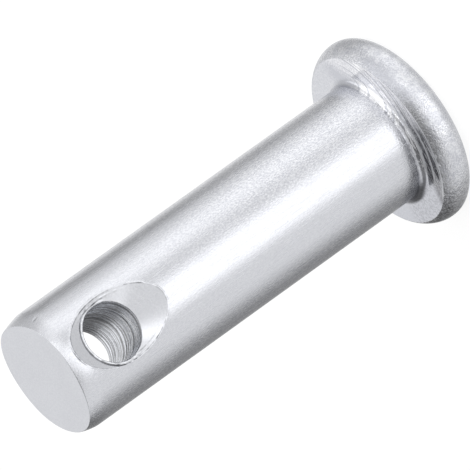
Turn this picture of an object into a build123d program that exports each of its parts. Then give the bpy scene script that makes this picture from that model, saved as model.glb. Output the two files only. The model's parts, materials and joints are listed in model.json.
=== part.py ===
from build123d import *
import os

# A headed clevis pin: one piece of steel, with a flat head at one end and a hole drilled across
# the shank near the other, for the split pin that keeps it in its fork. Sizes are in millimetres.
# The pin stands on its head. The origin is the centre of the head's flat outer face, and +Z runs
# along the pin's axis to the tail. The cross hole lies along Y.

# Shank
shank_diameter = 6.0           # the plain length that the fork and the rod end turn on
shank_length = 20.0            # from the head's seating face to the tail face
root_fillet_radius = 0.35      # the corner where the shank rises out of the seating face
tail_taper_length = 0.8        # the last of the shank, drawn in a little where the bar was cropped
tail_taper_inset = 0.17        # how far the tail face's edge lies inside the shank

# Head
head_diameter = 9.34           # at the crown of the barrelled rim
head_thickness = 1.58          # from the outer face to the seating face
rim_crown_height = 0.68        # from the outer face to the rim's widest circle
outer_face_inset = 0.41        # how far the outer face's edge lies inside the crown
seating_face_inset = 0.37      # how far the seating face's edge lies inside the crown

# Cross hole
cross_hole_diameter = 2.8      # clears a 2.5 mm split pin
cross_hole_from_tail = 2.93    # from the tail face to the hole's axis
cross_hole_offset = 0.15       # how far to one side of the pin's axis the drill ran; 0 is centred
countersink_diameter = 5.1     # across the mouth, along the crown of the shank
countersink_angle = 128.0      # the full point angle of the drill that opened both mouths

shank_radius = shank_diameter / 2
head_radius = head_diameter / 2
overall_length = head_thickness + shank_length
cross_hole_height = overall_length - cross_hole_from_tail


def half_profile():
    """The outline of half the blank, beside the axis: outer face, rim, seating face, shank, tail.

    The rim is two arcs that leave the crown straight up and straight down, so it is barrelled
    with no ridge at its widest, and meets each face of the head at a crisp edge. The tail's taper
    is an arc that leaves the shank straight, and meets the tail face at a crisp edge too.
    """
    crown = (head_radius, rim_crown_height)
    outer_face_edge = (head_radius - outer_face_inset, 0)
    seating_face_edge = (head_radius - seating_face_inset, head_thickness)
    root_corner = (shank_radius, head_thickness)
    taper_start = (shank_radius, overall_length - tail_taper_length)
    tail_face_edge = (shank_radius - tail_taper_inset, overall_length)
    with BuildSketch(Plane.XZ) as profile:
        with BuildLine():
            Polyline((0, overall_length), (0, 0), outer_face_edge)
            TangentArc(crown, outer_face_edge, tangent=(0, -1))
            TangentArc(crown, seating_face_edge, tangent=(0, 1))
            Polyline(seating_face_edge, root_corner, taper_start)
            TangentArc(taper_start, tail_face_edge, tangent=(0, 1))
            Line(tail_face_edge, (0, overall_length))
        make_face()
        fillet(profile.vertices().sort_by_distance(root_corner)[0], root_fillet_radius)
    return profile.sketch


def clevis_pin():
    """The blank, spun about its axis, with the cross hole drilled and opened from both sides."""
    with BuildPart() as pin:
        add(half_profile())
        revolve(axis=Axis.Z)
        for outward in (-1, 1):
            mouth_centre = (-cross_hole_offset, outward * shank_radius, cross_hole_height)
            mouth = Plane(origin=mouth_centre, z_dir=(0, outward, 0))
            with Locations(mouth):
                CounterSinkHole(
                    radius=cross_hole_diameter / 2,
                    counter_sink_radius=countersink_diameter / 2,
                    depth=shank_diameter,
                    counter_sink_angle=countersink_angle,
                )
    return pin.part


os.makedirs("parts", exist_ok=True)
export_step(clevis_pin(), "parts/clevis_pin.step")
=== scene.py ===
import json
import math

import bmesh
import bpy
import numpy as np
from mathutils import Matrix, Vector


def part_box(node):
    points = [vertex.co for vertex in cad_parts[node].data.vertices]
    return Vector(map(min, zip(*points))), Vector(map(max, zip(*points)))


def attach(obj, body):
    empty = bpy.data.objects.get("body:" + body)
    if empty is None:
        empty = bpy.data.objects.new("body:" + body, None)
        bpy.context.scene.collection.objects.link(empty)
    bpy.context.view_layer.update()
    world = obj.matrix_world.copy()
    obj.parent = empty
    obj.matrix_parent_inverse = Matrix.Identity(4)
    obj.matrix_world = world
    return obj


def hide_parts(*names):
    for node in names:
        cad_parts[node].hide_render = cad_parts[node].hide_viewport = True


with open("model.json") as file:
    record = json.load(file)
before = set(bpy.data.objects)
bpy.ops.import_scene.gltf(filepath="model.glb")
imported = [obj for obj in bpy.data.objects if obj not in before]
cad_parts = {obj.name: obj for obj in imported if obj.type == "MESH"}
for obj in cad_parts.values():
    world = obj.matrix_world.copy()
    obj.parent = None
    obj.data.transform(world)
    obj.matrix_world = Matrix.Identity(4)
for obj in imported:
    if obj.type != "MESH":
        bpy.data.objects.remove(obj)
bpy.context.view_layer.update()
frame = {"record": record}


# ---------------------------------------------------------------------------
# The head and shank: one piece of steel, turned from bar and bright zinc
# plated. The head is a flat disc with a barrelled rim, and the pin stands on
# its outer face, tail up.
# ---------------------------------------------------------------------------

mm = 0.001
mounts = {mount["name"]: mount for mount in frame["record"]["mounts"]}
pin_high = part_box("clevis_pin")[1]
shank_radius = mounts["shank"]["dims"]["r_mm"] * mm
shank_half = mounts["shank"]["dims"]["length_mm"] * mm / 2
shank_middle = mounts["shank"]["pos_m"][2]
seat_height = mounts["seating_face"]["pos_m"][2]
tail_height = pin_high.z
head_radius = pin_high.x
root_radius = shank_middle - shank_half - seat_height
taper_start = shank_middle + shank_half
crown_height = 0.68 * mm
outer_face_radius = head_radius - 0.41 * mm
seat_edge_radius = head_radius - 0.37 * mm
edge_ease = 0.021 * mm
taper_inset = 0.19 * mm
cropping_waves = (      # height in mm, waves round the axis, turn in degrees
    (0.055, 2, 50),
    (0.050, 3, 11),
    (0.045, 4, 19),
)

around_count = 192
shank_finish, face_finish, seat_finish, rim_finish, mouth_finish, wall_finish = range(6)
no_fold_shade = 0.0
pin_surfaces = []       # grid of points, finish, and how much painted shade a turned-over burr lays on each point


def straight(start, end, steps, crowd=1.0):
    """Points on a line. A crowd above 1 packs them towards both ends, by a power of the distance left."""
    t = np.linspace(-1, 1, steps)
    t = (1 + np.sign(t) * (1 - (1 - np.abs(t)) ** crowd)) / 2
    start, end = np.array(start, float), np.array(end, float)
    return start + (end - start) * t[:, None]


def quarter(start, end, centre, steps):
    """Points on the arc about centre, from start to end the short way, at even angles."""
    start, end, centre = (np.array(point, float) for point in (start, end, centre))
    first = math.atan2(*(start - centre)[::-1])
    last = math.atan2(*(end - centre)[::-1])
    turn = (last - first + math.pi) % (2 * math.pi) - math.pi
    angle = first + turn * np.linspace(0, 1, steps)
    return centre + np.linalg.norm(start - centre) * np.stack([np.cos(angle), np.sin(angle)], -1)


def curved(start, corner, end, steps):
    """Points on the parabola that leaves start towards the corner and reaches end from it."""
    start, corner, end = (np.array(point, float) for point in (start, corner, end))
    t = np.linspace(0, 1, steps)[:, None]
    return (1 - t) ** 2 * start + 2 * t * (1 - t) * corner + t ** 2 * end


def eased(before, corner, after, ease, steps=7):
    """A rounded corner: a parabola from ease short of it on one side to ease past it on the other."""
    before, corner, after = (np.array(point, float) for point in (before, corner, after))
    first = corner + (before - corner) / np.linalg.norm(before - corner) * ease
    last = corner + (after - corner) / np.linalg.norm(after - corner) * ease
    return curved(first, corner, last, steps)


def barrel(edge_radius, edge_height, steps):
    """Half the rim: the arc that stands upright at the crown and ends at the edge of a face."""
    inset = head_radius - edge_radius
    rise = edge_height - crown_height
    radius = (inset ** 2 + rise ** 2) / (2 * inset)
    angle = math.asin(rise / radius) * np.linspace(1, 0, steps)
    return np.stack([
        head_radius - radius * (1 - np.cos(angle)),
        crown_height + radius * np.sin(angle),
    ], -1)


around = np.arange(around_count) * 2 * np.pi / around_count


def spun(profile):
    """A profile of (radius, height) points spun about Z: radius by cosine, radius by sine, height."""
    radius, height = profile[:, :1], profile[:, 1:]
    return np.stack([radius * np.cos(around), radius * np.sin(around), height + 0 * around], -1)


def bar_radius(angle, height):
    """The shank's radius: plain up to the taper, then less by the inset times the way up to the power 1.5.

    The bar was cropped unevenly, so the inset is a constant and three waves round the axis.
    """
    inset = taper_inset + sum(
        size * mm * np.cos(count * (angle + math.radians(turn))) for size, count, turn in cropping_waves
    )
    way = np.clip((height - taper_start) / (tail_height - taper_start), 0, 1)
    return shank_radius - inset * way ** 1.5


def tail_end(rows):
    """The tail from the cross hole's panels up: the taper, its edge broken a very little, and the face.

    The taper's rows follow the shank's radius, and the face's rows are shares of its edge's radius.
    """
    up_taper = straight((panel_high,), (tail_height - 0.02 * mm,), rows, crowd=1.5)
    edge = bar_radius(around, tail_height)
    broken = np.array([(0.001, 0.006), (0.007, 0)]) * mm        # how far in and how far down each row lies
    share = np.array([1, 0.96, 0.9, 0.82, 0.74, 0.66, 0.56, 0.46, 0.36, 0.26, 0.16, 0.08, 0])[:, None]
    height = np.vstack([up_taper, tail_height - broken[:, 1:], tail_height + 0 * share])
    radius = np.vstack([bar_radius(around, up_taper), edge - broken[:, :1], (edge - 0.012 * mm) * share])
    grid = np.stack([radius * np.cos(around), radius * np.sin(around), height + 0 * around], -1)
    return grid[:rows + 1], grid[rows:]


root_corner = (shank_radius + root_radius, seat_height + root_radius)
root_bend = quarter((shank_radius, root_corner[1]), (root_corner[0], seat_height), root_corner, 13)
seat_side = barrel(seat_edge_radius, seat_height, 21)
outer_side = barrel(outer_face_radius, 0, 17)[::-1]
seat_bend = eased(root_bend[-1], seat_side[0], seat_side[1], edge_ease)
outer_bend = eased(outer_side[-2], outer_side[-1], (0, 0), edge_ease)
panel_high = tail_height - 0.2 * mm
taper, tail_face = tail_end(9)
rim_profile = np.vstack([seat_bend, seat_side[1:], outer_side[1:-1], outer_bend])

pin_surfaces += [
    (taper, shank_finish, no_fold_shade),
    (tail_face, face_finish, no_fold_shade),
    (spun(root_bend), seat_finish, no_fold_shade),
    (spun(straight(root_bend[-1], seat_bend[0], 19, crowd=2)), seat_finish, no_fold_shade),
    (spun(rim_profile), rim_finish, no_fold_shade),
    (spun(straight(outer_bend[-1], (0, 0), 9)), face_finish, no_fold_shade),
]


# ---------------------------------------------------------------------------
# The cross hole: drilled through the shank near its tail for a split pin, and
# opened on both sides with the point of a larger drill. Each mouth is a cone
# that cuts the round shank in a long eye, with a thin burr thrown up round it.
# ---------------------------------------------------------------------------

hole_radius = mounts["split_pin_hole"]["dims"]["r_mm"] * mm
hole_half = mounts["split_pin_hole"]["dims"]["length_mm"] * mm / 2
hole_across = mounts["split_pin_hole"]["pos_m"][0]
hole_height = mounts["split_pin_hole"]["pos_m"][2]
point_angle = math.radians(128)
cone_slope = 1 / math.tan(point_angle / 2)
cone_start = hole_half - hole_radius * cone_slope
drill_wander = 0.10 * mm        # how far the hole has run towards the tail at its near mouth, towards -Y
point_aside = 0.08 * mm         # how far the larger drill stood off the hole at that mouth, towards -X
point_headward = 0.14 * mm      # the same, towards the head
point_deeper = 0.035 * mm       # how much deeper it went there than at the far mouth
tear_places = np.arange(-2.2, 2.2, 0.21) * mm
tear_stray = 0.05 * mm          # how far off its place a torn ring may lie
tear_wander = 0.03 * mm         # how far it wanders along the hole as it goes round
tear_fade = 0.1 * mm            # over how much of the wall's end the rings die out
panel_low = hole_height - 3.6 * mm
side_count = 36
cone_rows = 36
bar_rows = 24

half_turn = np.linspace(-np.pi / 2, np.pi / 2, around_count // 2 + 1)
climb = np.linspace(panel_low, panel_high, side_count + 1) - hole_height
panel_edge = np.vstack([
    np.stack(np.broadcast_arrays(half_turn[:-1], climb[-1]), -1),
    np.stack(np.broadcast_arrays(np.pi / 2, climb[:0:-1]), -1),
    np.stack(np.broadcast_arrays(half_turn[:0:-1], climb[0]), -1),
    np.stack(np.broadcast_arrays(-np.pi / 2, climb[:-1]), -1),
])
eye_angle = np.arctan2(panel_edge[:, 0] * shank_radius - hole_across, panel_edge[:, 1])
eye_toward = np.stack([np.sin(eye_angle), np.cos(eye_angle)], -1)


def ragged(seed, waves):
    """An uneven closed line round the hole: sines with random heights and phases, finer ones lower."""
    dice = np.random.default_rng(seed)
    count = np.arange(1, waves + 1)
    height = dice.normal(size=waves) / np.sqrt(count)
    phase = dice.uniform(0, 2 * np.pi, waves)
    return (height * np.sin(eye_angle[:, None] * count + phase)).sum(-1)


def cone_depth(side, across, along):
    """How deep a mouth's cone lies: the depth of its tip and the distance from its axis times its slope.

    On the near side the larger drill stood a little off the hole, and went a little deeper.
    """
    near_side = side < 0
    away = np.hypot(across - hole_across + point_aside * near_side, along + point_headward * near_side)
    return cone_start - point_deeper * near_side + away * cone_slope


def from_mouth(radius, drift):
    """How far a circle that has drifted along the pin lies from the mouth's centre, in each direction.

    The drift's share in that direction, and the third side of the triangle of the radius and the rest.
    """
    return drift * eye_toward[:, 1] + np.sqrt(radius ** 2 - (drift * eye_toward[:, 0]) ** 2)


def mouth(side, seed):
    """One mouth, and the shank round it as far as a panel's edge: rows go outwards, columns go round.

    The surface is the nearer to the axis of the cone and the round bar, softly joined. A row inside
    the eye is a share of the way up the cone, and one outside it a share of the way over the
    unrolled shank. The eye is where cone and bar are as deep, found by halving. Along the eye and
    the hole's rim run low ridges and a turned-over lip of uneven height, where the drill threw up its burrs,
    and painted shade, kept at each point, darkens the creases under them.
    """
    def bar_depth(across, along):
        """How deep the round bar lies: the third side of the triangle of its radius and the way across."""
        turned = np.arcsin(np.clip(across / shank_radius, -1, 1))
        radius = bar_radius(side * (math.pi / 2 - turned), along + hole_height)
        return np.sqrt(np.maximum(radius ** 2 - across ** 2, 0))

    near, far = np.full(len(eye_angle), hole_radius), np.full(len(eye_angle), shank_radius)
    for halving in range(40):
        eye = (near + far) / 2
        spot = hole_across + eye * eye_toward[:, 0], eye * eye_toward[:, 1]
        above = cone_depth(side, *spot) < bar_depth(*spot)
        near, far = np.where(above, eye, near), np.where(above, far, eye)
    rim = from_mouth(hole_radius + edge_ease, drill_wander * (side < 0))
    up_cone = straight((0,), (1,), cone_rows, crowd=2)
    inside = (rim + (eye - rim) * up_cone)[..., None] * eye_toward + (hole_across, 0)
    unrolled = np.stack([np.arcsin(inside[-1, :, 0] / shank_radius), inside[-1, :, 1]], -1)
    over_bar = np.linspace(0, 1, bar_rows + 1)[1:, None, None] ** 1.8
    spread = unrolled + (panel_edge - unrolled) * over_bar
    radius = bar_radius(side * (math.pi / 2 - spread[..., 0]), spread[..., 1] + hole_height)
    outside = np.stack([np.sin(spread[..., 0]) * radius, spread[..., 1]], -1)
    flat = np.concatenate([inside, outside])
    reach = np.linalg.norm(flat - (hole_across, 0), axis=-1)
    cone = cone_depth(side, flat[..., 0], flat[..., 1])
    bar = np.vstack([bar_depth(*inside.T).T, np.cos(spread[..., 0]) * radius])
    soft = 0.003 * mm
    depth = np.minimum(cone, bar) - soft * np.log1p(np.exp(-np.abs(cone - bar) / soft))

    flank = np.abs(eye_toward[:, 0]) ** 4
    tailward = np.clip(0.5 + eye_toward[:, 1], 0, 1)
    at_tail = eye_toward[:, 1].clip(0, 1)
    at_head = (-eye_toward[:, 1]).clip(0, 1)
    eye_burr = (0.7 + 0.4 * ragged(seed, 60)).clip(0, 2)
    inner_burr = flank * (0.8 + 0.5 * ragged(seed + 1, 50)).clip(0, 2)
    lip = tailward * (0.8 + 0.6 * ragged(seed + 2, 30)).clip(0, 2)
    torn = tailward * (1.0 + 0.3 * ragged(seed + 3, 40)).clip(0.2, 1.5)
    eye_fold_shade = eye_burr * (0.65 - 0.45 * tailward * at_tail - 0.35 * at_head ** 2)

    ridges = (      # where it runs, how wide, how high, how uneven
        (eye + 0.03 * mm, 0.028 * mm, 0.026 * mm, eye_burr),
        (eye - 0.15 * mm, 0.028 * mm, 0.022 * mm, inner_burr),
        (rim + 0.02 * mm, 0.020 * mm, 0.016 * mm, lip),
        (rim + 0.12 * mm, 0.045 * mm, -0.050 * mm, torn),
    )
    # Painted shade under the turned-over burrs, as dark lines beside the ridges:
    fold_shade_lines = (      # where it runs, how wide, how dark, how uneven
        (eye - 0.02 * mm, 0.022 * mm, 1.0, eye_fold_shade),
        (eye - 0.20 * mm, 0.026 * mm, 0.5, inner_burr),
        (rim + 0.13 * mm, 0.045 * mm, 0.9, torn),
    )

    def ridge(place, width, size, unevenness):
        """A bell-shaped ridge: its size, times e to minus the square of the way from its line in widths."""
        return size * unevenness * np.exp(-((reach - place) / width) ** 2)

    depth += sum(ridge(*line) for line in ridges)
    depth[0], depth[-1] = cone[0], bar[-1]
    fold = sum(ridge(*line) for line in fold_shade_lines).clip(0, 1)
    grid = np.stack([flat[..., 0], side * depth, flat[..., 1] + hole_height], -1)
    return [
        (grid[:cone_rows], mouth_finish, fold[:cone_rows]),
        (grid[cone_rows - 1:], shank_finish, fold[cone_rows - 1:]),
    ]


def drilled_wall(rows):
    """The wall of the hole from rim to rim: a circle whose radius swells at each ring the drill tore.

    A ring is a bell-shaped groove whose place wanders a little along the hole as it goes round. The
    circle's centre drifts evenly along the hole, and its ends follow the rims on the two cones.
    """
    rim = hole_radius + edge_ease
    wall_end = cone_start + rim * cone_slope
    bend = curved((hole_radius, wall_end - 2 * edge_ease), (hole_radius, hole_half), (rim, wall_end), 6)
    bore = straight(bend[0] * (1, -1), bend[0], rows)
    profile = np.vstack([bend[::-1] * (1, -1), bore[1:-1], bend])
    radius, depth = profile[:, :1], profile[:, 1:]
    dice = np.random.default_rng(11)
    swell = np.zeros((len(profile), len(eye_angle)))
    for place in tear_places:
        wander = tear_wander * ragged(dice.integers(1 << 30), 5)
        centre = place + dice.normal() * tear_stray + wander
        width = dice.uniform(0.035, 0.055) * mm
        size = dice.uniform(0.010, 0.028) * mm
        swell += size * np.exp(-((depth - centre) / width) ** 2)
    swell *= np.clip((wall_end - 2 * edge_ease - np.abs(depth)) / tear_fade, 0, 1)
    drift = drill_wander * (wall_end - depth) / (2 * wall_end)
    reach = from_mouth(radius + swell, drift)
    for side in (-1, 1):
        edge = from_mouth(rim, drill_wander * (side < 0))[:, None] * eye_toward
        rise = cone_depth(side, edge[:, 0] + hole_across, edge[:, 1]) - wall_end
        depth = depth + side * rise * np.clip(side * depth / wall_end, 0, 1) ** 8
    return np.stack([
        hole_across + reach * eye_toward[:, 0],
        depth,
        hole_height + reach * eye_toward[:, 1],
    ], -1)


for side, seed in ((-1, 5), (1, 8)):
    pin_surfaces += mouth(side, seed)
pin_surfaces += [
    (drilled_wall(130), wall_finish, no_fold_shade),
    (spun(straight((shank_radius, panel_low), root_bend[0], 25)), shank_finish, no_fold_shade),
]

# Each surface closes on itself round its columns, and joins its neighbours where their points meet.
points, fold_shade_values, faces, finishes, first = [], [], [], [], 0
for grid, finish, fold in pin_surfaces:
    rows, columns = grid.shape[:2]
    here = first + np.arange(rows * columns).reshape(rows, columns)
    there = np.roll(here, -1, 1)
    quads = np.stack([here[:-1], there[:-1], there[1:], here[1:]], -1).reshape(-1, 4)
    points.append(grid.reshape(-1, 3))
    fold_shade_values.append(np.broadcast_to(fold, (rows, columns)).ravel())
    faces.append(quads)
    finishes.append(np.full(len(quads), finish))
    first += rows * columns
pin_mesh = bpy.data.meshes.new("pin")
pin_mesh.from_pydata(np.vstack(points), [], np.vstack(faces))
pin_mesh.polygons.foreach_set("material_index", np.concatenate(finishes))
pin_mesh.attributes.new("fold", "FLOAT", "POINT").data.foreach_set("value", np.concatenate(fold_shade_values))
shell = bmesh.new()
shell.from_mesh(pin_mesh)
bmesh.ops.remove_doubles(shell, verts=shell.verts, dist=0.0002 * mm)
bmesh.ops.recalc_face_normals(shell, faces=shell.faces)
shell.to_mesh(pin_mesh)
shell.free()
pin_mesh.shade_smooth()
pin = bpy.data.objects.new("pin", pin_mesh)
bpy.context.scene.collection.objects.link(pin)
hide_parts("clevis_pin")
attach(pin, "root")


# ---------------------------------------------------------------------------
# The finish: bright zinc, a few thousandths of a millimetre thick, which is
# soft and faintly blue and shows the marks of each tool that cut the steel.
# ---------------------------------------------------------------------------

nodes, links = None, None       # of the tree that is being filled


def fill(tree):
    """Empties a tree and makes it the one that is being filled."""
    global nodes, links
    nodes, links = tree.nodes, tree.links
    nodes.clear()


def placed(kind, inputs=(), **settings):
    """A node in the tree: its settings, then its inputs, each a number, a colour or another's output."""
    node = nodes.new(kind)
    for name, value in settings.items():
        setattr(node, name, value)
    for name, value in dict(inputs).items():
        if isinstance(value, bpy.types.NodeSocket):
            links.new(value, node.inputs[name])
        else:
            node.inputs[name].default_value = value
    return node


def worked(operation, *sources):
    """A Math node on the given sockets or numbers; returns its output."""
    return placed("ShaderNodeMath", enumerate(sources), operation=operation).outputs[0]


def added(base, mask, amount):
    """The base, plus the mask times an amount."""
    return worked("MULTIPLY_ADD", mask, amount, base)


def both(first, *others):
    """Masks multiplied together, so that what is left lies in all of them."""
    for other in others:
        first = worked("MULTIPLY", first, other)
    return first


def either(first, *others):
    """The greatest of the masks at each place."""
    for other in others:
        first = worked("MAXIMUM", first, other)
    return first


def stepped(value, low, high, to_low=0.0, to_high=1.0):
    """The value carried smoothly from low..high to to_low..to_high, and held beyond."""
    node = placed("ShaderNodeMapRange", {
        "Value": value, "From Min": low, "From Max": high, "To Min": to_low, "To Max": to_high,
    }, interpolation_type="SMOOTHSTEP")
    return node.outputs[0]


def line_at(value, centre, core, fade):
    """1 where the value is within core of the centre, and smoothly less, down to 0 at fade from it."""
    return stepped(worked("ABSOLUTE", worked("SUBTRACT", value, centre)), core, fade, 1.0, 0.0)


def along_axis(place, axis):
    """How far the place lies along X, Y or Z, given as 0, 1 or 2."""
    return placed("ShaderNodeSeparateXYZ", {0: place}).outputs[axis]


def toward(place, way):
    """How far the place lies in a given way: the sum of their products, axis by axis."""
    return placed("ShaderNodeVectorMath", {0: place, 1: way}, operation="DOT_PRODUCT").outputs["Value"]


def moved(place, step):
    """The place with a step added."""
    return placed("ShaderNodeVectorMath", {0: place, 1: step}, operation="ADD").outputs[0]


def reach_of(place, scales):
    """How far the place lies from the origin, once each axis is scaled; a scale of 0 leaves the axis out."""
    scaled = placed("ShaderNodeVectorMath", {0: place, 1: scales}, operation="MULTIPLY").outputs[0]
    return placed("ShaderNodeVectorMath", {0: scaled}, operation="LENGTH").outputs["Value"]


def stretched(place, scales=(1, 1, 1), turned=(0, 0, 0)):
    """The place turned and scaled axis by axis, so that a pattern on it is turned and drawn out."""
    return placed("ShaderNodeMapping", {"Vector": place, "Rotation": turned, "Scale": scales}).outputs[0]


def cloudy(place, scale, detail):
    """Soft noise about 0.5, whose patches are about 1 / scale across."""
    return placed("ShaderNodeTexNoise", {"Vector": place, "Scale": scale, "Detail": detail}).outputs[0]


def degrees_round(place):
    """Degrees round the pin's axis, 0 towards -Y and 90 towards -X: the arctangent of -X and -Y."""
    x, y = placed("ShaderNodeSeparateXYZ", {0: place}).outputs[:2]
    return worked("DEGREES", worked("ARCTAN2", worked("MULTIPLY", x, -1), worked("MULTIPLY", y, -1)))


def sector(place, centre, half, edge):
    """1 within half of the centre, in degrees round the axis, with a smooth step two edges wide to 0."""
    return line_at(degrees_round(place), centre, half - edge, half + edge)


def group(name, taken, given):
    """An empty node group, made the one being filled. Its inputs and outputs are numbers, but for Place."""
    tree = bpy.data.node_groups.new(name, "ShaderNodeTree")
    for socket in taken:
        kind = "NodeSocketVector" if socket == "Place" else "NodeSocketFloat"
        tree.interface.new_socket(socket, in_out="INPUT", socket_type=kind)
    for socket in given:
        tree.interface.new_socket(socket, in_out="OUTPUT", socket_type="NodeSocketFloat")
    fill(tree)
    return tree, placed("NodeGroupInput").outputs, placed("NodeGroupOutput").inputs


def used(tree, **inputs):
    """One of the groups in the tree, with its inputs given by name, a low line for a space."""
    named = {name.replace("_", " "): value for name, value in inputs.items()}
    return placed("ShaderNodeGroup", named, node_tree=tree).outputs


# Plating skin: the dimpled skin of the zinc, and the bright and dull crystals in it.
cloud_scale = 900
skin, taken, given = group(
    "plating skin",
    ("Place", "Dimple Size", "Grain Size", "Dimple", "Grain"),
    ("Height", "Cloud", "Crystals"),
)
grain_scale = worked("DIVIDE", 1, taken["Grain Size"])
dimple = cloudy(taken["Place"], worked("DIVIDE", 1, taken["Dimple Size"]), 1)
grain = cloudy(taken["Place"], grain_scale, 2)
crystals = cloudy(stretched(taken["Place"], (1.1, 0.9, 1.0), (0.4, 0.7, 0.2)), grain_scale, 1)
links.new(added(both(grain, taken["Grain"]), dimple, taken["Dimple"]), given["Height"])
links.new(cloudy(taken["Place"], cloud_scale, 3), given["Cloud"])
links.new(stepped(crystals, 0.34, 0.66), given["Crystals"])

# Scratches: short lines left by handling, drawn out along the place's Z axis.
scratch_shortness = 0.04
scratch_softness = 0.04
scratches, taken, given = group("scratches", ("Place", "Width", "Rarity"), ("Mask",))
line = cloudy(stretched(taken["Place"], (1, 1, scratch_shortness)), worked("DIVIDE", 1, taken["Width"]), 1)
mask = stepped(line, taken["Rarity"], worked("ADD", taken["Rarity"], scratch_softness))
links.new(mask, given["Mask"])

# Tool rings: fine grooves at uneven distances from the axis that the tool turned about.
wander_scale = 1200
rings, taken, given = group("tool rings", ("Distance", "Place", "Pitch", "Wander"), ("Height",))
drift = both(worked("SUBTRACT", cloudy(taken["Place"], wander_scale, 2), 0.5), taken["Wander"])
ring = placed("ShaderNodeTexNoise", {
    "W": worked("ADD", taken["Distance"], drift),
    "Scale": worked("DIVIDE", 1, taken["Pitch"]),
    "Detail": 2.0,
}, noise_dimensions="1D")
links.new(ring.outputs[0], given["Height"])

# The colours of the zinc, of a painted glint on it, of dull zinc that also serves as painted shade, of the
# bare steel under it, which also serves as painted shade on the rim, and of the painted shade under a
# turned-over burr.
bright_zinc = (0.737, 0.745, 0.769, 1)
grey_zinc = (0.515, 0.525, 0.566, 1)
glint_zinc = (0.95, 0.95, 0.97, 1)
dull_and_shaded_zinc = (0.215, 0.215, 0.233, 1)
scraped_steel = (0.83, 0.85, 0.895, 1)
bare_steel_and_shade = (0.31, 0.314, 0.327, 1)
fold_shade_colour = (0.133, 0.135, 0.141, 1)


def begin(name):
    """A new material on the pin, its tree made the one being filled; gives the place on the pin."""
    material = bpy.data.materials.new(name)
    material.use_nodes = True
    pin_mesh.materials.append(material)
    fill(material.node_tree)
    return placed("ShaderNodeTexCoord").outputs["Object"]


def mixed(share, first, second):
    """A colour between the first and the second, by a share from 0 to 1."""
    return placed("ShaderNodeMix", {0: share, 6: first, 7: second}, data_type="RGBA").outputs[2]


def fold_shaded(colour):
    """The colour, darkened with painted shade where the mesh says that a burr is turned over it."""
    fold = placed("ShaderNodeAttribute", attribute_name="fold").outputs["Fac"]
    return mixed(fold, colour, fold_shade_colour)


def clouded(marks, smooth, rough):
    """The roughness of a plating skin, which follows its cloud from smooth to rough."""
    return stepped(marks["Cloud"], 0.3, 0.7, smooth, rough)


def finished(colour, roughness, relief, depth):
    """The metal shader with its colour, roughness, and a bump whose full height is depth, and the output."""
    bump = placed("ShaderNodeBump", {"Height": relief, "Strength": 1.0, "Distance": depth})
    shader = placed("ShaderNodeBsdfPrincipled", {
        "Base Color": colour, "Metallic": 1.0, "Roughness": roughness, "Normal": bump.outputs[0],
    })
    placed("ShaderNodeOutputMaterial", {"Surface": shader.outputs[0]})


# The shank: ground bar, tumbled. Its crystals stand out on two flanks, and less so near the hole, where
# handling has rubbed them. It has fine scratches along it, and one ring-shaped nick near the tail.
flank_way = (0.67, -0.74, 0)
nick_spot = (2.38 * mm, -1.83 * mm, tail_height - 0.28 * mm)
nick_radius = 0.10 * mm
nick_width = 0.035 * mm
handled_length = 11 * mm
place = begin("shank zinc")
flanks = stepped(worked("ABSOLUTE", toward(place, flank_way)), 0.70 * shank_radius, 0.95 * shank_radius)
handled = stepped(along_axis(place, 2), hole_height - handled_length, hole_height)
frosted = added(0.3, flanks, added(0.7, handled, -0.65))
frosted = added(frosted, sector(place, 78, 24, 12), 0.7)
plating = used(skin, Place=stretched(place, (1, 1, 0.6)), Dimple_Size=0.22 * mm, Grain_Size=0.060 * mm,
               Dimple=0.4, Grain=both(frosted, 2.4))
long_lines = used(scratches, Place=place, Width=0.05 * mm, Rarity=0.60)["Mask"]
nick_reach = reach_of(moved(place, [-part for part in nick_spot]), (1, 1, 0.34))
nick = line_at(nick_reach, nick_radius, 0, nick_width)
relief = added(added(plating["Height"], long_lines, -0.15), nick, -2.5)
roughness = added(clouded(plating, 0.17, 0.21), long_lines, 0.12)
share = added(0.5, worked("SUBTRACT", plating["Crystals"], 0.5), both(frosted, 0.75))
# Painted shade darkens it under the turned-over burrs round the eyes.
finished(fold_shaded(mixed(share, grey_zinc, bright_zinc)), roughness, relief, 0.006 * mm)

# The tail face and the outer face: cropped and faced flat, with a fine even grain.
place = begin("faced zinc")
plating = used(skin, Place=place, Dimple_Size=0.3 * mm, Grain_Size=0.08 * mm, Dimple=0.3, Grain=0.5)
share = added(0.35, plating["Crystals"], 0.2)
colour = mixed(share, grey_zinc, bright_zinc)
finished(colour, clouded(plating, 0.28, 0.33), plating["Height"], 0.002 * mm)

# The seating face and the root: turned, with fine grooves round the shank. Towards -Y the tool tore the
# face in lines and rings, and on one side of there it left arcs about a centre of its own, painted dark and
# pale by turns as streaks of reflection.
# Much of its light and shade is painted into its colour: a glint, highlights along the root and the seat's
# edge, streaks in the fan of arcs, and shade by the root and beside the shank.
torn_way = (-0.14, -0.99, 0)
shank_shade_way = (-0.46, -0.89, 0)
glint_way = (0.57, -0.82, 0)
arc_centre = (1.3 * mm, 0.7 * mm, 0)
tear_turn = math.radians(20)
place = begin("turned zinc")
from_axis = reach_of(place, (1, 1, 0))
plating = used(skin, Place=place, Dimple_Size=0.3 * mm, Grain_Size=0.09 * mm, Dimple=0.3, Grain=0.8)
grooves = used(rings, Distance=from_axis, Place=place, Pitch=0.24 * mm, Wander=0.03 * mm)["Height"]
torn = stepped(toward(place, torn_way), 0.70 * shank_radius, 0.95 * shank_radius)

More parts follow.
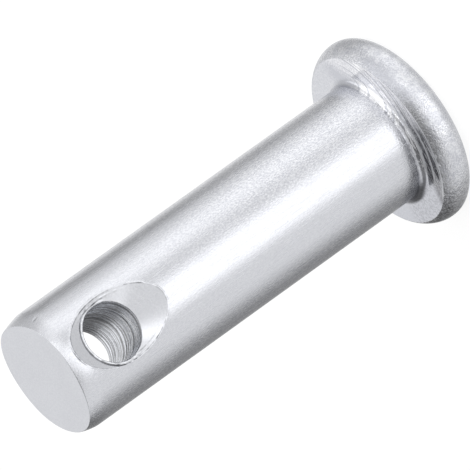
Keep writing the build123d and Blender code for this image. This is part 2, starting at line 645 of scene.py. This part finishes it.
# Its marks: they stand up a little, and are rougher and brighter than the zinc between them. The marks along
# the root and inside the seat's edge are painted highlights.
tear_place = stretched(stretched(place, turned=(0, 0, tear_turn)), turned=(0, math.radians(90), 0))
hair_place = stretched(tear_place, turned=(0.12, -0.10, 0))
cross_lines = used(scratches, Place=tear_place, Width=0.08 * mm, Rarity=0.58)["Mask"]
hair_lines = used(scratches, Place=hair_place, Width=0.055 * mm, Rarity=0.60)["Mask"]
ring_lines = stepped(grooves, 0.57, 0.61)
root_highlight = line_at(from_axis, shank_radius + 0.20 * mm, 0.015 * mm, 0.035 * mm)
seat_edge_highlight = line_at(from_axis, seat_edge_radius - 0.07 * mm, 0.03 * mm, 0.07 * mm)
edge_highlights = either(root_highlight, seat_edge_highlight)
lines_and_highlights = both(torn, either(edge_highlights, hair_lines, cross_lines, ring_lines))
relief = added(plating["Height"], both(grooves, torn), 1.2)
relief = added(relief, lines_and_highlights, 0.8)
roughness = added(clouded(plating, 0.10, 0.14), lines_and_highlights, 0.45)

# Its dark places: painted shade beside the shank towards -Y, speckles towards -X, and painted shade in ticks
# along the crease where the root leaves the shank.
shade_beside_shank = stepped(toward(place, shank_shade_way), 0.92 * shank_radius, 1.09 * shank_radius)
speckle = stepped(cloudy(place, 9000, 1), 0.42, 0.56)
speckled = both(sector(place, 85, 28, 6), added(0.34, speckle, -0.30))
ticks = stepped(cloudy(stretched(place, (1, 1, 0.3)), 7000, 1), 0.47, 0.54)
past_shank = worked("SUBTRACT", from_axis, shank_radius)
root_crease_shade = both(stepped(past_shank, 0.012 * mm, 0.030 * mm, 0.6, 0.0), added(0.5, ticks, 0.5))
root_crease_shade = both(root_crease_shade, sector(place, 14, 44, 8))
dull_and_shade = mixed(either(shade_beside_shank, root_crease_shade, speckled), grey_zinc, dull_and_shaded_zinc)

# Its painted highlight: a glint painted in a wedge, and beside it.
glint_wedge = sector(place, -30, 16, 5)
painted_glint = stepped(toward(place, glint_way), 0.80 * shank_radius, 1.10 * shank_radius)
painted_glint = either(painted_glint, glint_wedge)
lit = mixed(painted_glint, bright_zinc, glint_zinc)

# Its arcs: dark and pale by turns in a fan, painted as streaks of reflection.
from_arc_centre = reach_of(moved(place, [-part for part in arc_centre]), (1, 1, 0))
arcs = used(rings, Distance=from_arc_centre, Place=place, Pitch=0.15 * mm, Wander=0.04 * mm)["Height"]
fan = sector(place, -28, 36, 10)
dark_arcs = both(stepped(arcs, 0.53, 0.60), fan)
pale_arcs = both(stepped(arcs, 0.40, 0.47, 1.0, 0.0), fan)

# How near the zinc is to its bright colour, which holds the painted glint, from the broad differences to the
# fine marks.
share = added(added(0.18, lines_and_highlights, 0.9), plating["Crystals"], 0.3)
# Darker towards -X, and a little lighter towards +X.
darker_to_minus_x = stepped(toward(place, (-1, 0, 0)), 0.2 * shank_radius, 1.1 * shank_radius, -0.08, 0.34)
share = added(worked("SUBTRACT", share, darker_to_minus_x), painted_glint, 0.5)
# Less painted glint in a sector round -68 degrees.
share = added(share, sector(place, -68, 18, 10), -0.50)
share = added(share, glint_wedge, 0.6)
# Painted shade on the seat by the root.
root_shade = stepped(from_axis, shank_radius + 0.10 * mm, shank_radius + 0.50 * mm, 1.0, 0.0)
root_shade = both(root_shade, sector(place, -34, 24, 8))
share = added(worked("MINIMUM", share, 0.95), root_shade, -0.15)
share = added(share, dark_arcs, -0.65)
share = either(share, both(either(pale_arcs, edge_highlights), torn))
share = added(share, root_crease_shade, -0.8)
finished(mixed(share, dull_and_shade, lit), roughness, relief, 0.005 * mm)

# The rim: rolled to its barrel shape, and dimpled like orange peel under the plating. It is knocked and
# pitted towards -X, and burred along the seating face, where painted shade and a painted shadow also darken
# it.
shaded_way = (0.37, -0.93, 0)
burred_way = (-0.42, -0.91, 0)
place = begin("rolled zinc")
up_rim = along_axis(place, 2)
at_seat = stepped(up_rim, seat_height - 0.22 * mm, seat_height)
near_seat = stepped(up_rim, seat_height - 0.65 * mm, seat_height - 0.15 * mm)
knocked = stepped(toward(place, (-1, 0, 0)), 0.65 * head_radius, 0.98 * head_radius)
coarse = added(added(2.3, knocked, 2.0), at_seat, 3.0)
plating = used(skin, Place=place, Dimple_Size=0.28 * mm, Grain_Size=0.075 * mm, Dimple=1.1, Grain=coarse)
patches = stepped(cloudy(place, 2600, 2), 0.38, 0.62)
share = added(added(-0.05, patches, 0.35), plating["Crystals"], 0.65)
share = added(share, knocked, added(0.45, near_seat, -0.35))
# Painted shade on the rim near the seat, on one side.
shaded = stepped(toward(place, shaded_way), 0.84 * head_radius, 0.93 * head_radius)
share = added(share, both(shaded, near_seat), -0.6)
burred = stepped(toward(place, burred_way), 1.06 * shank_radius, 1.26 * shank_radius)
burred = both(burred, at_seat, stepped(cloudy(stretched(place, (1, 1, 2)), 3200, 2), 0.42, 0.56))
pitted = both(knocked, stepped(cloudy(place, 7000, 2), 0.44, 0.56, 1.0, 0.0), added(0.4, near_seat, 0.6))
# A painted shadow on the rim just below the seat, round 10 degrees.
painted_shadow_by_seat = stepped(up_rim, seat_height - 0.32 * mm, seat_height - 0.06 * mm)
painted_shadow_by_seat = both(painted_shadow_by_seat, sector(place, 10, 17, 8), 0.95)
colour = mixed(either(painted_shadow_by_seat, burred, pitted), mixed(share, grey_zinc, bright_zinc), bare_steel_and_shade)
finished(colour, clouded(plating, 0.24, 0.31), plating["Height"], 0.009 * mm)

# The mouths of the cross hole: cut by a drill point that left faint rings, and painted with shade under
# their turned-over burrs.
to_hole = (-hole_across, 0, -hole_height)
place = begin("drill point zinc")
from_hole = reach_of(moved(place, to_hole), (1, 0, 1))
plating = used(skin, Place=place, Dimple_Size=0.3 * mm, Grain_Size=0.09 * mm, Dimple=0.3, Grain=0.3)
point_rings = used(rings, Distance=from_hole, Place=place, Pitch=0.14 * mm, Wander=0.06 * mm)["Height"]
relief = added(plating["Height"], point_rings, 0.08)
share = added(0.5, plating["Crystals"], 0.15)
colour = fold_shaded(mixed(share, grey_zinc, bright_zinc))
finished(colour, clouded(plating, 0.22, 0.28), relief, 0.006 * mm)

# The wall of the cross hole: torn in rings by the drill, and barely reached by the zinc. It is painted
# brighter on one side, where it catches more light.
lit_side_way = (-0.97, 0, -0.26)
place = begin("drilled steel")
plating = used(skin, Place=place, Dimple_Size=0.2 * mm, Grain_Size=0.09 * mm, Dimple=0.5, Grain=1.0)
depth_in = along_axis(place, 1)
tears = used(rings, Distance=depth_in, Place=place, Pitch=0.30 * mm, Wander=0.16 * mm)["Height"]
fine_tears = used(rings, Distance=depth_in, Place=place, Pitch=0.13 * mm, Wander=0.08 * mm)["Height"]
dark_line = line_at(tears, 0.5, 0.0, 0.020)
painted_lit_side = stepped(toward(moved(place, to_hole), lit_side_way), 0.80 * hole_radius, 0.97 * hole_radius)
relief = added(added(plating["Height"], fine_tears, 1.7), tears, 2.5)
relief = added(relief, dark_line, -1.0)
share = added(stepped(fine_tears, 0.45, 0.53, 0.02, 1.10), plating["Crystals"], 0.2)
share = added(added(share, dark_line, -1.6), painted_lit_side, 0.25)
finished(mixed(share, bare_steel_and_shade, scraped_steel), clouded(plating, 0.20, 0.28), relief, 0.014 * mm)


# ---------------------------------------------------------------------------
# The studio: a paper floor in a tent as white as the page, with grey flags
# and brighter panels in its sides. The metal shows the tent. The floor keeps
# the pin's shadow, and stays out of its reflections.
# ---------------------------------------------------------------------------

white = (1, 1, 1, 1)
pale_grey = (0.25, 0.25, 0.25, 1)
paper_glow = 0.82       # what the camera sees of the paper beyond the light that falls on it
tent_level = 1.0

floor_mesh = bpy.data.meshes.new("floor")
floor_mesh.from_pydata([(-1, -1, 0), (1, -1, 0), (1, 1, 0), (-1, 1, 0)], [], [(0, 1, 2, 3)])
floor = bpy.data.objects.new("floor", floor_mesh)
floor.location.z = -0.01 * mm
bpy.context.scene.collection.objects.link(floor)
floor.visible_glossy = False
floor.visible_shadow = False

paper = bpy.data.materials.new("paper")
paper.use_nodes = True
floor_mesh.materials.append(paper)
fill(paper.node_tree)
camera_ray = placed("ShaderNodeLightPath").outputs["Is Camera Ray"]
matt = placed("ShaderNodeBsdfDiffuse", {"Color": pale_grey})
glow = placed("ShaderNodeEmission", {"Color": white, "Strength": both(camera_ray, paper_glow)})
lit_paper = placed("ShaderNodeAddShader", {0: matt.outputs[0], 1: glow.outputs[0]})
placed("ShaderNodeOutputMaterial", {"Surface": lit_paper.outputs[0]})

# Tent panel: a soft-edged rectangle in degrees round the tent and up it.
panel_inputs = ("Around", "Up", "Centre Around", "Centre Up", "Half Width", "Half Height", "Edge")
panel, taken, given = group("tent panel", panel_inputs, ("Mask",))


def within(distance, half, edge):
    """1 within half, and 0 beyond it, with a smooth step as wide as two edges between."""
    return stepped(distance, worked("SUBTRACT", half, edge), worked("ADD", half, edge), 1.0, 0.0)


turn_off = worked("WRAP", worked("SUBTRACT", taken["Around"], taken["Centre Around"]), 180, -180)
climb_off = worked("SUBTRACT", taken["Up"], taken["Centre Up"])
in_width = within(worked("ABSOLUTE", turn_off), taken["Half Width"], taken["Edge"])
in_height = within(worked("ABSOLUTE", climb_off), taken["Half Height"], taken["Edge"])
links.new(both(in_width, in_height), given["Mask"])

panels = [
    # around, up, half width, half height, edge, brightness
    ("high left softbox", -80, 56, 46, 20, 12, 1.45),
    ("left wall", -120, 12, 30, 20, 12, 0.82),
    ("back wall", 180, 26, 20, 16, 9, 1.08),
    ("low left softbox", -65, -28, 18, 26, 12, 1.45),
    ("low left flag", -126, -25, 16, 24, 14, 0.46),
    ("low right flag", 142, -20, 38, 26, 26, 0.34),
    ("high right flag", 86, 48, 60, 27, 9, 0.31),
    ("right side flag", 145, 5, 26, 24, 12, 0.16),
    ("front strip", 10, -14, 25, 25, 12, 1.71),
    ("top flag", 4, 60, 26, 24, 12, 0.51),
    ("side light", -33, 13, 12, 11, 9, 1.95),
    ("left slit", -104, 30, 32, 6, 5, 1.45),
    ("overhead", 0, 90, 180, 14, 6, 1.93),
    ("table", 0, -90, 180, 34, 12, 0.84),
]

tent = bpy.data.worlds.new("tent")
bpy.context.scene.world = tent
tent.use_nodes = True
fill(tent.node_tree)
way_out = placed("ShaderNodeTexCoord").outputs["Generated"]
round_tent = degrees_round(way_out)
up_tent = worked("DEGREES", worked("ARCSINE", along_axis(way_out, 2)))
brightness = tent_level
for name, *sizes, strength in panels:
    own = dict(zip(panel_inputs, (round_tent, up_tent, *sizes)))
    mask = placed("ShaderNodeGroup", own, node_tree=panel, label=name).outputs["Mask"]
    brightness = placed("ShaderNodeMix", {0: mask, 2: brightness, 3: strength}).outputs[0]
camera_ray = placed("ShaderNodeLightPath").outputs["Is Camera Ray"]
tent_light = placed("ShaderNodeBackground", {"Color": white, "Strength": brightness})
page = placed("ShaderNodeBackground", {"Color": white, "Strength": 1})
shown = placed("ShaderNodeMixShader", {0: camera_ray, 1: tent_light.outputs[0], 2: page.outputs[0]})
placed("ShaderNodeOutputWorld", {"Surface": shown.outputs[0]})


# ---------------------------------------------------------------------------
# The camera: far off in front of the pin and a little beside it, looking down
# on the tail, and rolled so that the pin lies aslant.
# ---------------------------------------------------------------------------

looking_down = math.radians(25.48)
roll = math.radians(35.64)
beside = math.radians(-2.6)
camera_distance = 0.62
view_width = 6.93 * shank_radius
aim = Vector((0, 0, tail_height - 3.5 * shank_radius))
walk = Matrix.Rotation(beside, 3, "Z")
backward = walk @ Vector((0, -math.cos(looking_down), math.sin(looking_down)))
headward = walk @ Vector((0, -math.sin(looking_down), -math.cos(looking_down)))
sideward = walk @ Vector((-1, 0, 0))
right = headward * math.cos(roll) + sideward * math.sin(roll)
upward = headward * math.sin(roll) - sideward * math.cos(roll)
camera_data = bpy.data.cameras.new("camera")
camera_data.lens = camera_data.sensor_width * camera_distance / view_width
camera_data.shift_x = 0.0298
camera_data.shift_y = 0.0382
camera = bpy.data.objects.new("camera", camera_data)
bpy.context.scene.collection.objects.link(camera)
facing = Matrix((right, upward, backward)).transposed().to_4x4()
camera.matrix_world = Matrix.Translation(aim + backward * camera_distance) @ facing
bpy.context.scene.camera = camera

bpy.context.scene.view_settings.view_transform = "Standard"
